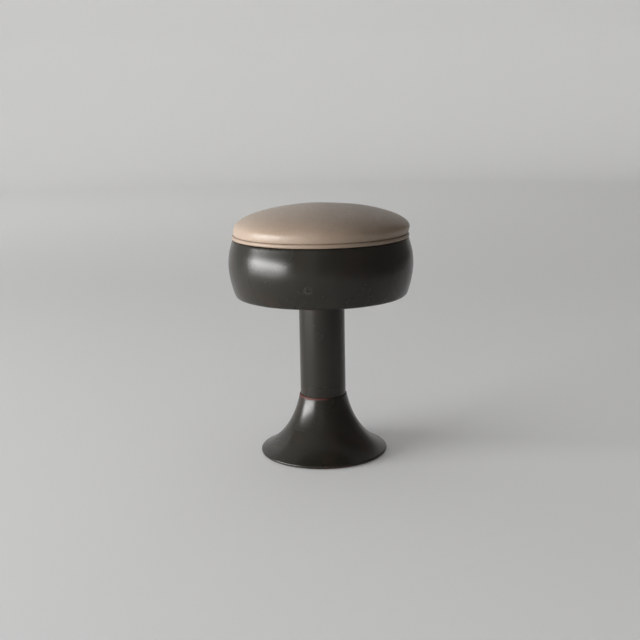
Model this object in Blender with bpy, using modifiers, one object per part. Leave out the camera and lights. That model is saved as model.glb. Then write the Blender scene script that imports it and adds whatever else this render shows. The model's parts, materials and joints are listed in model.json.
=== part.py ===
"""Swivel pedestal stool: an upholstered drum seat that turns on a ball-race swivel above a flared column.

Every length is in metres and every angle in degrees. The stool stands on the floor at Z = 0 and its
swivel axis is the Z axis. Heights are stacked from the floor up, so a change of one piece carries
everything above it along.
"""

import math

import bmesh
import bpy

# Clearance left between two pieces that touch
FIT_GAP = 0.0003

# Flared base: a spun sheet trumpet whose foot is rolled under and turned in to a flat hem
FOOT_RADIUS = 0.1249
FOOT_LIP_HEIGHT = 0.0008
FOOT_SHOULDER_FILLET = 0.003
FOOT_CURL_RADIUS = 0.0026
FOOT_CURL_CLEARANCE = 0.0012
FLARE_HEIGHT = 0.1172
FLARE_WALL = 0.0015
FLARE_NECK_ANGLE = 11.0
FLARE_NECK_HANDLE = 0.042
FLARE_FOOT_ANGLE = 24.4
FLARE_FOOT_HANDLE = 0.0519
FLARE_HEM_WIDTH = 0.0147
FLARE_HEM_DROP = 0.0013

# Cast base plate inside the flare, its screws and the rubber ring that the stool stands on
FOOT_RING_THICKNESS = 0.003
FOOT_RING_MARGIN = 0.00255
FOOT_RING_WIDTH = 0.016
BASE_RIM_MARGIN = 0.0012
BASE_DISC_THICKNESS = 0.0127
BASE_DISC_DRAFT = 0.012
BASE_BOSS_HEIGHT = 0.018
NUT_WELL_MARGIN = 0.004
NUT_WELL_SPARE = 0.0004
BASE_SCREW_COUNT = 4
BASE_SCREW_RADIUS = 0.0018
BASE_SCREW_HEAD_RADIUS = 0.0032
BASE_SCREW_HEAD_HEIGHT = 0.002
BASE_SCREW_REACH = 0.0035

# Column tube and the tie rod that clamps it between the base plate and the column cap
COLUMN_RADIUS = 0.04445
COLUMN_WALL = 0.002
COLUMN_LENGTH = 0.3964
ROD_RADIUS = 0.006
ROD_END = 0.0015
NUT_ACROSS_FLATS = 0.019
NUT_HEIGHT = 0.01
WASHER_RADIUS = 0.012
WASHER_THICKNESS = 0.0022

# Column cap: a round plate that carries the swivel, welded onto a plug in the top of the tube
CAP_EDGE = 0.0086
CAP_THICKNESS = 0.0041
CAP_BORE_MARGIN = 0.002
PLUG_WEB = 0.0125
PLUG_NUT_SPARE = 0.0007

# Ball-race swivel: two square plates, caged balls and the eyelet that holds the plates together
PLATE_THICKNESS = 0.0035
PLATE_CORNER_RADIUS = 0.01
RACE_RADIUS = 0.046
RACE_CLEARANCE = 0.0005
BALL_RADIUS = 0.003175
BALL_COUNT = 12
BALL_STAND_OUT = 0.0015
CAGE_RIM = 0.002
CAGE_THICKNESS = 0.0012
EYELET_RADIUS = 0.02
EYELET_WALL = 0.004
EYELET_FLANGE_WIDTH = 0.006
EYELET_FLANGE = 0.0015
LOWER_SCREW_INSET = 0.013
LOWER_SCREW_MARGIN = 0.0047
LOWER_SCREW_RADIUS = 0.0025
LOWER_SCREW_HEAD_RADIUS = 0.005
LOWER_SCREW_HEAD_DEPTH = 0.0024
UPPER_BOLT_INSET = 0.015
UPPER_BOLT_MARGIN = 0.005
ACCESS_HOLE_RADIUS = 0.0065

# Seat bolts and tee nuts
BOLT_RADIUS = 0.003
BOLT_HEAD_ACROSS = 0.01
BOLT_HEAD_HEIGHT = 0.004
BOLT_COVER = 0.003
TEE_NUT_FLANGE_RADIUS = 0.0095
TEE_NUT_FLANGE = 0.0014
TEE_NUT_WALL = 0.0012
TEE_NUT_COVER = 0.003

# Drum: a spun skirt, widest above its middle, with a lip at the bottom and a ring welded into its top
DRUM_RADIUS = 0.178
DRUM_HEIGHT = 0.1101
DRUM_WALL = 0.0015
DRUM_SHOULDER_DROP = 0.0499
DRUM_TOP_INSET = 0.008
DRUM_TOP_LEAN = 14.5
DRUM_TOP_HANDLE = 0.0167
DRUM_TOP_FILLET = 0.003
DRUM_TOP_RETURN = 0.01
DRUM_RING_WIDTH = 0.0217
DRUM_WIDE_HANDLE_UP = 0.0238
DRUM_WIDE_HANDLE_DOWN = 0.0204
DRUM_BOTTOM_INSET = 0.012
DRUM_BOTTOM_LEAN = 27.9
DRUM_BOTTOM_HANDLE = 0.0082
DRUM_BOTTOM_FILLET = 0.006
DRUM_BOTTOM_LIP = 0.006
DRUM_SCREW_COUNT = 6
DRUM_SCREW_RADIUS = 0.0018
DRUM_SCREW_HEAD_RADIUS = 0.004
DRUM_SCREW_HEAD_HEIGHT = 0.0024
DRUM_SCREW_COVER = 0.004
DRUM_SCREW_EDGE = 0.0065
SCREW_POINT = 0.003

# Upholstered seat
BOARD_THICKNESS = 0.012
BOARD_HOLE_MARGIN = 0.004
WELT_SECTION_RADIUS = 0.0033
WELT_INSET = 0.0028
COVER_THICKNESS = 0.0012
COVER_INSET = 0.0017
COVER_HEM = 0.0136
PAD_HEIGHT = 0.0633
PAD_BULGE_HEIGHT = 0.0155
PAD_CROWN_HANDLE = 0.09
PAD_SIDE_HANDLE = 0.0225
PAD_TUCK_HANDLE = 0.0055
PAD_TUCK_LAP = 0.0015

# Facets round the axis and along a curve
SHELL_STEPS = 40
HIDDEN_STEPS = 24
SMALL_STEPS = 8
HEXAGON_STEPS = 6
WELT_STEPS = 8
BALL_STEPS = 8
BALL_RINGS = 6
TRUMPET_STEPS = 8
WALL_STEPS = 5
DOME_STEPS = 7
TUCK_STEPS = 3
CURL_STEPS = 4
CORNER_STEPS = 4
FILLET_STEPS = 2
SHARP_ANGLE = 32.0

# Heights, stacked from the floor up
FOOT_SHOULDER_HEIGHT = FOOT_CURL_CLEARANCE + FOOT_CURL_RADIUS + FOOT_LIP_HEIGHT + FOOT_SHOULDER_FILLET
FLARE_HEM_HEIGHT = FOOT_SHOULDER_HEIGHT - FLARE_HEM_DROP
BASE_RIM_Z = FOOT_RING_THICKNESS + FIT_GAP
BASE_RIM_TOP_Z = FLARE_HEM_HEIGHT - FIT_GAP
BASE_DISC_TOP_Z = BASE_RIM_Z + BASE_DISC_THICKNESS
BASE_BOSS_TOP_Z = BASE_DISC_TOP_Z + BASE_BOSS_HEIGHT
NUT_STACK = NUT_HEIGHT + WASHER_THICKNESS + 2 * FIT_GAP
NUT_WELL_TOP_Z = BASE_RIM_Z + NUT_STACK + ROD_END + NUT_WELL_SPARE
COLUMN_Z = BASE_DISC_TOP_Z + FIT_GAP
COLUMN_TOP_Z = COLUMN_Z + COLUMN_LENGTH
CAP_Z = COLUMN_TOP_Z + FIT_GAP
CAP_TOP_Z = CAP_Z + CAP_THICKNESS
PLUG_TOP_Z = CAP_Z - FIT_GAP
PLUG_WEB_TOP_Z = CAP_Z - NUT_STACK - PLUG_NUT_SPARE
PLUG_Z = PLUG_WEB_TOP_Z - PLUG_WEB
LOWER_PLATE_Z = CAP_TOP_Z + FIT_GAP
LOWER_PLATE_TOP_Z = LOWER_PLATE_Z + PLATE_THICKNESS
RACE_Z = LOWER_PLATE_TOP_Z + BALL_STAND_OUT
UPPER_PLATE_Z = RACE_Z + BALL_STAND_OUT
UPPER_PLATE_TOP_Z = UPPER_PLATE_Z + PLATE_THICKNESS
BOARD_Z = UPPER_PLATE_TOP_Z + FIT_GAP
BOARD_TOP_Z = BOARD_Z + BOARD_THICKNESS
HEM_Z = BOARD_Z - FIT_GAP - COVER_THICKNESS
DRUM_TOP_Z = HEM_Z - FIT_GAP
DRUM_Z = DRUM_TOP_Z - DRUM_HEIGHT
DRUM_WIDEST_Z = DRUM_TOP_Z - DRUM_SHOULDER_DROP
DRUM_RING_Z = DRUM_TOP_Z - DRUM_WALL
WELT_Z = DRUM_TOP_Z + FIT_GAP + WELT_SECTION_RADIUS

# Radii and places that follow from their neighbours
COLUMN_BORE = COLUMN_RADIUS - COLUMN_WALL
NECK_RADIUS = COLUMN_RADIUS + FIT_GAP + FLARE_WALL
HEM_OUTER_RADIUS = FOOT_RADIUS - 2 * FOOT_CURL_RADIUS
HEM_INNER_RADIUS = HEM_OUTER_RADIUS - FLARE_HEM_WIDTH
BASE_RIM_RADIUS = HEM_OUTER_RADIUS - BASE_RIM_MARGIN
BASE_DISC_RADIUS = HEM_INNER_RADIUS - BASE_RIM_MARGIN
BASE_SCREW_CIRCLE = (HEM_INNER_RADIUS + BASE_RIM_RADIUS) / 2
FOOT_RING_RADIUS = BASE_SCREW_CIRCLE - BASE_SCREW_HEAD_RADIUS - FOOT_RING_MARGIN
NUT_WELL_RADIUS = WASHER_RADIUS + NUT_WELL_MARGIN
ROD_HOLE_RADIUS = ROD_RADIUS + FIT_GAP
BALL_POCKET_RADIUS = BALL_RADIUS + RACE_CLEARANCE
EYELET_HOLE_RADIUS = EYELET_RADIUS + FIT_GAP
EYELET_FLANGE_RADIUS = EYELET_RADIUS + EYELET_FLANGE_WIDTH
CAP_BORE_RADIUS = EYELET_FLANGE_RADIUS + CAP_BORE_MARGIN
BOLT_HOLE_RADIUS = BOLT_RADIUS + FIT_GAP
RACE_EDGE_RADIUS = RACE_RADIUS + BALL_POCKET_RADIUS
LOWER_SCREW_CIRCLE = RACE_EDGE_RADIUS + LOWER_SCREW_HEAD_RADIUS + LOWER_SCREW_MARGIN
LOWER_SCREW_SIDE = LOWER_SCREW_CIRCLE / math.sqrt(2)
LOWER_PLATE_HALF_WIDTH = LOWER_SCREW_SIDE + LOWER_SCREW_INSET
CAP_RADIUS = LOWER_SCREW_CIRCLE + CAP_EDGE
UPPER_BOLT_SIDE = LOWER_PLATE_HALF_WIDTH + UPPER_BOLT_MARGIN
UPPER_PLATE_HALF_WIDTH = UPPER_BOLT_SIDE + UPPER_BOLT_INSET
BOLT_REACH = BOARD_THICKNESS - BOLT_COVER
TEE_NUT_LENGTH = BOARD_THICKNESS - TEE_NUT_COVER
DRUM_SCREW_REACH = BOARD_THICKNESS - DRUM_SCREW_COVER
TEE_NUT_BARREL_RADIUS = BOLT_HOLE_RADIUS + TEE_NUT_WALL
DRUM_TOP_RADIUS = DRUM_RADIUS - DRUM_TOP_INSET
DRUM_RETURN_RADIUS = DRUM_TOP_RADIUS - DRUM_TOP_RETURN
DRUM_RING_RADIUS = DRUM_RETURN_RADIUS - FIT_GAP
DRUM_RING_BORE = DRUM_RING_RADIUS - DRUM_RING_WIDTH
DRUM_SCREW_CIRCLE = DRUM_RING_BORE + DRUM_SCREW_EDGE
WELT_RING_RADIUS = DRUM_TOP_RADIUS - WELT_INSET
TUCK_RADIUS = WELT_RING_RADIUS - WELT_SECTION_RADIUS - FIT_GAP
PAD_RADIUS = DRUM_TOP_RADIUS - COVER_INSET
BOARD_RADIUS = TUCK_RADIUS - COVER_THICKNESS - FIT_GAP


# Outlines in (radius, height), and flat loops in (x, y)


def bezier(start, start_handle, end_handle, end, steps=WALL_STEPS):
    """Points along one cubic curve, both ends included."""
    points = []
    for step in range(steps + 1):
        t = step / steps
        weights = ((1 - t) ** 3, 3 * t * (1 - t) ** 2, 3 * t * t * (1 - t), t**3)
        corners = (start, start_handle, end_handle, end)
        points.append(tuple(sum(w * c[i] for w, c in zip(weights, corners)) for i in (0, 1)))
    return points


def arc(centre, radius, from_degrees, to_degrees, steps=FILLET_STEPS):
    """Points along an arc, both ends included. Zero degrees points outwards and 90 points up."""
    points = []
    for step in range(steps + 1):
        angle = math.radians(from_degrees + (to_degrees - from_degrees) * step / steps)
        points.append((centre[0] + radius * math.cos(angle), centre[1] + radius * math.sin(angle)))
    return points


def from_point(start, length, lean):
    """The point a length below another, leaning outwards from the vertical by an angle."""
    angle = math.radians(lean)
    return (start[0] + length * math.sin(angle), start[1] - length * math.cos(angle))


def circle(radius, count, centre=(0.0, 0.0)):
    return arc(centre, radius, 0, 360, count)[:-1]


def square_corners(side):
    return [(side, side), (-side, side), (-side, -side), (side, -side)]


def rounded_square(half_width, corner_radius):
    points = []
    for i, corner in enumerate(square_corners(half_width - corner_radius)):
        points += arc(corner, corner_radius, 90 * i, 90 * i + 90, CORNER_STEPS)
    return points


def offset_inwards(outline, distance):
    """An outline moved to its inner side, with mitred corners. A point on the axis stays on it."""
    moved = []
    last = len(outline) - 1
    for i, (radius, height) in enumerate(outline):
        normals = []
        for a, b in ((i - 1, i), (i, i + 1)):
            if a < 0 or b > last:
                continue
            across = outline[b][0] - outline[a][0]
            along = outline[b][1] - outline[a][1]
            length = math.hypot(across, along)
            normals.append((along / length, -across / length))
        mean = (sum(n[0] for n in normals), sum(n[1] for n in normals))
        spread = math.hypot(*mean)
        reach = distance * spread / (mean[0] * normals[0][0] + mean[1] * normals[0][1])
        inner = radius + mean[0] / spread * reach if radius > FIT_GAP else 0.0
        moved.append((inner, height + mean[1] / spread * reach))
    return moved


def flare_outline():
    """Outer face of the flare: trumpet, rounded shoulder, rolled foot and hem."""
    neck = (NECK_RADIUS, FLARE_HEIGHT)
    shoulder_centre = (FOOT_RADIUS - FOOT_SHOULDER_FILLET, FOOT_SHOULDER_HEIGHT - FOOT_SHOULDER_FILLET)
    shoulder = arc(shoulder_centre, FOOT_SHOULDER_FILLET, 90 - FLARE_FOOT_ANGLE, 0)
    trumpet = bezier(
        neck,
        from_point(neck, FLARE_NECK_HANDLE, FLARE_NECK_ANGLE),
        from_point(shoulder[0], -FLARE_FOOT_HANDLE, 90 - FLARE_FOOT_ANGLE),
        shoulder[0],
        TRUMPET_STEPS,
    )
    curl_centre = (FOOT_RADIUS - FOOT_CURL_RADIUS, FOOT_CURL_CLEARANCE + FOOT_CURL_RADIUS)
    curl = arc(curl_centre, FOOT_CURL_RADIUS, 0, -180, CURL_STEPS)
    hem = [(HEM_OUTER_RADIUS, FLARE_HEM_HEIGHT), (HEM_INNER_RADIUS, FLARE_HEM_HEIGHT)]
    return trumpet + shoulder[1:] + curl + hem


def drum_outline():
    """Outer face of the drum: turned-in top edge, bulging wall and bottom lip."""
    lean = math.radians(DRUM_TOP_LEAN)
    top_centre = (DRUM_TOP_RADIUS - DRUM_TOP_FILLET * math.cos(lean), DRUM_TOP_Z - DRUM_TOP_FILLET)
    shoulder = arc(top_centre, DRUM_TOP_FILLET, 90, DRUM_TOP_LEAN)
    widest = (DRUM_RADIUS, DRUM_WIDEST_Z)
    upper = bezier(
        shoulder[-1],
        from_point(shoulder[-1], DRUM_TOP_HANDLE, DRUM_TOP_LEAN),
        from_point(widest, -DRUM_WIDE_HANDLE_UP, 0),
        widest,
    )
    lean = math.radians(DRUM_BOTTOM_LEAN)
    low_end = (DRUM_RADIUS - DRUM_BOTTOM_INSET, DRUM_Z + DRUM_BOTTOM_FILLET * (1 - math.sin(lean)))
    lower = bezier(
        widest,
        from_point(widest, DRUM_WIDE_HANDLE_DOWN, 0),
        from_point(low_end, -DRUM_BOTTOM_HANDLE, -DRUM_BOTTOM_LEAN),
        low_end,
    )
    low_centre = (low_end[0] - DRUM_BOTTOM_FILLET * math.cos(lean), DRUM_Z + DRUM_BOTTOM_FILLET)
    roll = arc(low_centre, DRUM_BOTTOM_FILLET, -DRUM_BOTTOM_LEAN, -90)
    turned_in = [(DRUM_RETURN_RADIUS, DRUM_TOP_Z)]
    lip = [(low_centre[0] - DRUM_BOTTOM_LIP, DRUM_Z)]
    return turned_in + shoulder + upper[1:] + lower[1:] + roll[1:] + lip


def pad_outline():
    """Outer face of the seat pad: crown, rolled side and the tuck above the welt."""
    crown = (0.0, BOARD_Z + PAD_HEIGHT)
    bulge = (PAD_RADIUS, BOARD_Z + PAD_BULGE_HEIGHT)
    tuck = (TUCK_RADIUS + PAD_TUCK_LAP, WELT_Z + WELT_SECTION_RADIUS + FIT_GAP)
    dome = bezier(
        crown,
        (PAD_CROWN_HANDLE, crown[1]),
        from_point(bulge, -PAD_SIDE_HANDLE, 0),
        bulge,
        DOME_STEPS,
    )
    side = bezier(
        bulge,
        from_point(bulge, PAD_TUCK_HANDLE, 0),
        (tuck[0] + PAD_TUCK_LAP, tuck[1]),
        tuck,
        TUCK_STEPS,
    )
    return dome + side[1:]


def cover_outline():
    """The pad's outer face carried on behind the welt and in under the board."""
    behind_welt = [(TUCK_RADIUS, WELT_Z), (TUCK_RADIUS, HEM_Z)]
    return pad_outline() + behind_welt + [(TUCK_RADIUS - COVER_HEM, HEM_Z)]


def pan_screw_outline(shank_radius, head_radius, head_height, length):
    """A pointed screw that stands head down, the seat of its head at Z = 0."""
    return [
        (0, length),
        (shank_radius, length - SCREW_POINT),
        (shank_radius, 0),
        (head_radius, 0),
        (head_radius, -head_height / 2),
        (head_radius / 2, -head_height),
        (0, -head_height),
    ]


# Making objects


def clear_scene():
    for obj in list(bpy.data.objects):
        bpy.data.objects.remove(obj)


def new_collection(name):
    collection = bpy.data.collections.new(name)
    bpy.context.scene.collection.children.link(collection)
    return collection


def new_carrier(name, height):
    """An empty on the swivel axis that carries the parts of one moving body."""
    carrier = bpy.data.objects.new(name, None)
    carrier.location.z = height
    parts.objects.link(carrier)
    return carrier


def new_material(name, colour, roughness, metallic=0.0):
    material = bpy.data.materials.new(name)
    material.use_nodes = True
    shader = material.node_tree.nodes["Principled BSDF"]
    shader.inputs["Base Color"].default_value = (*colour, 1.0)
    shader.inputs["Roughness"].default_value = roughness
    shader.inputs["Metallic"].default_value = metallic
    material.diffuse_color = (*colour, 1.0)
    return material


def add_part(name, mesh, material, carrier, place=(0, 0, 0)):
    """A named part at a place in the stool's frame."""
    obj = bpy.data.objects.new(name, mesh)
    parts.objects.link(obj)
    if not mesh.materials:
        mesh.materials.append(material)
    obj.parent = carrier
    obj.location = (place[0], place[1], place[2] - carrier.location.z)
    return obj


def finished_mesh(obj):
    """An object's shape with its modifiers applied, smooth except at real edges. The object is removed."""
    bpy.context.view_layer.update()
    graph = bpy.context.evaluated_depsgraph_get()
    mesh = bpy.data.meshes.new_from_object(obj.evaluated_get(graph))
    mesh.name = obj.name
    bpy.data.objects.remove(obj)
    mesh.shade_smooth()
    mesh.set_sharp_from_angle(angle=math.radians(SHARP_ANGLE))
    return mesh


def turned_mesh(name, outline, steps, closed=False, wall=0.0):
    """An outline turned about Z. A wall thickens an open outline to its inner side."""
    profile = bpy.data.meshes.new(name)
    edges = [(i, i + 1) for i in range(len(outline) - 1)]
    if closed:
        edges.append((len(outline) - 1, 0))
    profile.from_pydata([(radius, 0, height) for radius, height in outline], edges, [])
    obj = bpy.data.objects.new(name, profile)
    parts.objects.link(obj)
    screw = obj.modifiers.new("Turn", "SCREW")
    screw.axis = "Z"
    screw.steps = steps
    screw.render_steps = steps
    screw.use_merge_vertices = True
    screw.merge_threshold = 0.00001
    if wall:
        solidify = obj.modifiers.new("Wall", "SOLIDIFY")
        solidify.thickness = wall
        solidify.offset = -1
        solidify.use_even_offset = True
    return finished_mesh(obj)


def ring_mesh(name, inner, outer, low, high, steps):
    """A ring of rectangular section."""
    return turned_mesh(name, [(outer, high), (outer, low), (inner, low), (inner, high)], steps, closed=True)


def flat_mesh(name, loops, low, high):
    """A flat plate between two heights, from its outer loop and the loops of its holes."""
    curve = bpy.data.curves.new(name, "CURVE")
    curve.dimensions = "2D"
    curve.fill_mode = "BOTH"
    curve.extrude = (high - low) / 2
    for loop in loops:
        spline = curve.splines.new("POLY")
        spline.points.add(len(loop) - 1)
        for point, (x, y) in zip(spline.points, loop):
            point.co = (x, y, 0, 1)
        spline.use_cyclic_u = True
    obj = bpy.data.objects.new(name, curve)
    parts.objects.link(obj)
    mesh = finished_mesh(obj)
    shape = bmesh.new()
    shape.from_mesh(mesh)
    bmesh.ops.remove_doubles(shape, verts=shape.verts, dist=0.000001)
    bmesh.ops.translate(shape, verts=shape.verts, vec=(0, 0, (low + high) / 2))
    bmesh.ops.recalc_face_normals(shape, faces=shape.faces)
    shape.to_mesh(mesh)
    shape.free()
    mesh.set_sharp_from_angle(angle=math.radians(SHARP_ANGLE))
    return mesh


def cylinder_mesh(name, radius, low, high, steps=SMALL_STEPS):
    """An upright cylinder on the axis."""
    return turned_mesh(name, [(0, high), (radius, high), (radius, low), (0, low)], steps)


def repeated(mesh, places):
    """The same mesh at each place, for a cutter that makes a pattern of holes."""
    shape = bmesh.new()
    for x, y in places:
        before = len(shape.verts)
        shape.from_mesh(mesh)
        shape.verts.ensure_lookup_table()
        bmesh.ops.translate(shape, verts=shape.verts[before:], vec=(x, y, 0))
    shape.to_mesh(mesh)
    shape.free()
    return mesh


def drill(obj, name, radius, low, high, places):
    """Round holes through an object between two heights."""
    add_boolean(obj, "DIFFERENCE", repeated(cylinder_mesh(name, radius, low, high), places))


def add_boolean(obj, operation, mesh):
    """Cuts a helper shape from an object, or joins it on. The helper is given in the stool's frame."""
    helper = bpy.data.objects.new(mesh.name, mesh)
    cutters.objects.link(helper)
    helper.hide_render = True
    helper.display_type = "WIRE"
    boolean = obj.modifiers.new(mesh.name, "BOOLEAN")
    boolean.operation = operation
    boolean.object = helper
    boolean.solver = "EXACT"
    return helper


def hex_bolt_mesh(name, shank):
    """A hexagon bolt that stands head down, the seat of its head at Z = 0."""
    corner = BOLT_HEAD_ACROSS / math.sqrt(3)
    head = bpy.data.objects.new(name, cylinder_mesh(name, corner, -BOLT_HEAD_HEIGHT, 0, HEXAGON_STEPS))
    parts.objects.link(head)
    overlap = BOLT_HEAD_HEIGHT / 2
    helper = add_boolean(head, "UNION", cylinder_mesh(name + "_shank", BOLT_RADIUS, -overlap, shank))
    mesh = finished_mesh(head)
    bpy.data.objects.remove(helper)
    return mesh


# Pedestal


def build_flared_base():
    mesh = turned_mesh("flared_base", flare_outline(), SHELL_STEPS, wall=FLARE_WALL)
    base = add_part("flared_base", mesh, dark_enamel, pedestal)
    hole_radius = BASE_SCREW_RADIUS + FIT_GAP
    low = FLARE_HEM_HEIGHT - FLARE_WALL
    high = FLARE_HEM_HEIGHT + 2 * FLARE_WALL
    places = circle(BASE_SCREW_CIRCLE, BASE_SCREW_COUNT)
    drill(base, "hem_holes", hole_radius, low, high, places)


def build_base_plate():
    """Casting with a thin rim under the flare's hem, a heavy disc and a boss that centres the tube."""
    boss_radius = COLUMN_BORE - FIT_GAP
    outline = [
        (BASE_RIM_RADIUS, BASE_RIM_TOP_Z),
        (BASE_RIM_RADIUS, BASE_RIM_Z),
        (NUT_WELL_RADIUS, BASE_RIM_Z),
        (NUT_WELL_RADIUS, NUT_WELL_TOP_Z),
        (ROD_HOLE_RADIUS, NUT_WELL_TOP_Z),
        (ROD_HOLE_RADIUS, BASE_BOSS_TOP_Z),
        (boss_radius, BASE_BOSS_TOP_Z),
        (boss_radius, BASE_DISC_TOP_Z),
        (BASE_DISC_RADIUS - BASE_DISC_DRAFT, BASE_DISC_TOP_Z),
        (BASE_DISC_RADIUS, BASE_RIM_TOP_Z),
    ]
    mesh = turned_mesh("base_plate", outline, HIDDEN_STEPS, closed=True)
    plate = add_part("base_plate", mesh, cast_iron, pedestal)
    hole_radius = BASE_SCREW_RADIUS + FIT_GAP
    places = circle(BASE_SCREW_CIRCLE, BASE_SCREW_COUNT)
    low = BASE_RIM_Z - FOOT_RING_THICKNESS
    drill(plate, "rim_holes", hole_radius, low, BASE_DISC_TOP_Z, places)


def build_base_screws():
    seat_z = BASE_RIM_Z - FIT_GAP
    length = FLARE_HEM_HEIGHT + FLARE_WALL - seat_z + BASE_SCREW_REACH
    outline = pan_screw_outline(BASE_SCREW_RADIUS, BASE_SCREW_HEAD_RADIUS, BASE_SCREW_HEAD_HEIGHT, length)
    mesh = turned_mesh("base_screw", outline, SMALL_STEPS)
    for i, (x, y) in enumerate(circle(BASE_SCREW_CIRCLE, BASE_SCREW_COUNT)):
        add_part(f"base_screw_{i + 1}", mesh, bright_steel, pedestal, (x, y, seat_z))


def build_foot_ring():
    inner = FOOT_RING_RADIUS - FOOT_RING_WIDTH
    mesh = ring_mesh("foot_ring", inner, FOOT_RING_RADIUS, 0, FOOT_RING_THICKNESS, SHELL_STEPS)
    add_part("foot_ring", mesh, black_rubber, pedestal)


def build_column():
    mesh = ring_mesh("column_tube", COLUMN_BORE, COLUMN_RADIUS, COLUMN_Z, COLUMN_TOP_Z, SHELL_STEPS)
    add_part("column_tube", mesh, dark_enamel, pedestal)


def build_tie_rod():
    """Rod with a washer and a nut at each end, in the base plate's well and in the column plug."""
    low_washer_z = NUT_WELL_TOP_Z - FIT_GAP - WASHER_THICKNESS
    low_nut_z = low_washer_z - FIT_GAP - NUT_HEIGHT
    high_washer_z = PLUG_WEB_TOP_Z + FIT_GAP
    high_nut_z = high_washer_z + WASHER_THICKNESS + FIT_GAP
    rod = cylinder_mesh("tie_rod", ROD_RADIUS, low_nut_z - ROD_END, high_nut_z + NUT_HEIGHT + ROD_END)
    add_part("tie_rod", rod, bright_steel, pedestal)
    hexagon = circle(NUT_ACROSS_FLATS / math.sqrt(3), HEXAGON_STEPS)
    nut = flat_mesh("tie_rod_nut", [hexagon, circle(ROD_HOLE_RADIUS, SMALL_STEPS)], 0, NUT_HEIGHT)
    washer = ring_mesh("tie_rod_washer", ROD_HOLE_RADIUS, WASHER_RADIUS, 0, WASHER_THICKNESS, SMALL_STEPS)
    for end, nut_z, washer_z in (("lower", low_nut_z, low_washer_z), ("upper", high_nut_z, high_washer_z)):
        add_part(end + "_nut", nut, bright_steel, pedestal, (0, 0, nut_z))
        add_part(end + "_washer", washer, bright_steel, pedestal, (0, 0, washer_z))


def build_column_plug():
    """Plug in the top of the tube, with a well for the tie rod's upper nut."""
    outer = COLUMN_BORE - FIT_GAP
    outline = [
        (outer, PLUG_TOP_Z),
        (outer, PLUG_Z),
        (ROD_HOLE_RADIUS, PLUG_Z),
        (ROD_HOLE_RADIUS, PLUG_WEB_TOP_Z),
        (NUT_WELL_RADIUS, PLUG_WEB_TOP_Z),
        (NUT_WELL_RADIUS, PLUG_TOP_Z),
    ]
    mesh = turned_mesh("column_plug", outline, HIDDEN_STEPS, closed=True)
    add_part("column_plug", mesh, cast_iron, pedestal)


def build_column_cap():
    """Round plate on the tube and the plug, drilled for the lower swivel plate's screws."""
    mesh = ring_mesh("column_cap", CAP_BORE_RADIUS, CAP_RADIUS, CAP_Z, CAP_TOP_Z, HIDDEN_STEPS)
    cap = add_part("column_cap", mesh, cast_iron, pedestal)
    hole_radius = LOWER_SCREW_RADIUS + FIT_GAP
    places = square_corners(LOWER_SCREW_SIDE)
    low = CAP_Z - CAP_THICKNESS
    high = CAP_TOP_Z + CAP_THICKNESS
    drill(cap, "cap_holes", hole_radius, low, high, places)


# Swivel


def cut_race(plate):
    """The groove that the balls run in, cut by a ring on the balls' own circle."""
    bpy.ops.mesh.primitive_torus_add(
        location=(0, 0, 0),
        major_radius=RACE_RADIUS,
        minor_radius=BALL_POCKET_RADIUS,
        major_segments=SHELL_STEPS,
        minor_segments=SMALL_STEPS,
    )
    ring = bpy.context.object
    mesh = finished_mesh(ring)
    mesh.name = plate.name + "_race"
    helper = add_boolean(plate, "DIFFERENCE", mesh)
    helper.location.z = RACE_Z


def build_lower_plate():
    """Fixed plate, screwed to the column cap through four countersunk holes."""
    loops = [
        rounded_square(LOWER_PLATE_HALF_WIDTH, PLATE_CORNER_RADIUS),
        circle(EYELET_HOLE_RADIUS, HIDDEN_STEPS),
    ]
    mesh = flat_mesh("swivel_lower_plate", loops, LOWER_PLATE_Z, LOWER_PLATE_TOP_Z)
    plate = add_part("swivel_lower_plate", mesh, zinc_plate, pedestal)
    sink = [
        (0, PLATE_THICKNESS),
        (LOWER_SCREW_HEAD_RADIUS + FIT_GAP, PLATE_THICKNESS),
        (LOWER_SCREW_HEAD_RADIUS + FIT_GAP, 0),
        (LOWER_SCREW_RADIUS + FIT_GAP, -LOWER_SCREW_HEAD_DEPTH),
        (LOWER_SCREW_RADIUS + FIT_GAP, -2 * PLATE_THICKNESS),
        (0, -2 * PLATE_THICKNESS),
    ]
    cutter = repeated(turned_mesh("countersinks", sink, SMALL_STEPS), square_corners(LOWER_SCREW_SIDE))
    helper = add_boolean(plate, "DIFFERENCE", cutter)
    helper.location.z = LOWER_PLATE_TOP_Z
    cut_race(plate)


def build_lower_screws():
    """Countersunk screws whose heads lie flush in the lower plate and whose shanks end in the cap."""
    end = CAP_Z - LOWER_PLATE_TOP_Z
    outline = [
        (0, 0),
        (LOWER_SCREW_HEAD_RADIUS, 0),
        (LOWER_SCREW_RADIUS, FIT_GAP - LOWER_SCREW_HEAD_DEPTH),
        (LOWER_SCREW_RADIUS, end),
        (0, end),
    ]
    mesh = turned_mesh("lower_screw", outline, SMALL_STEPS)
    for i, (x, y) in enumerate(square_corners(LOWER_SCREW_SIDE)):
        add_part(f"lower_plate_screw_{i + 1}", mesh, bright_steel, pedestal, (x, y, LOWER_PLATE_TOP_Z))


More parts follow.
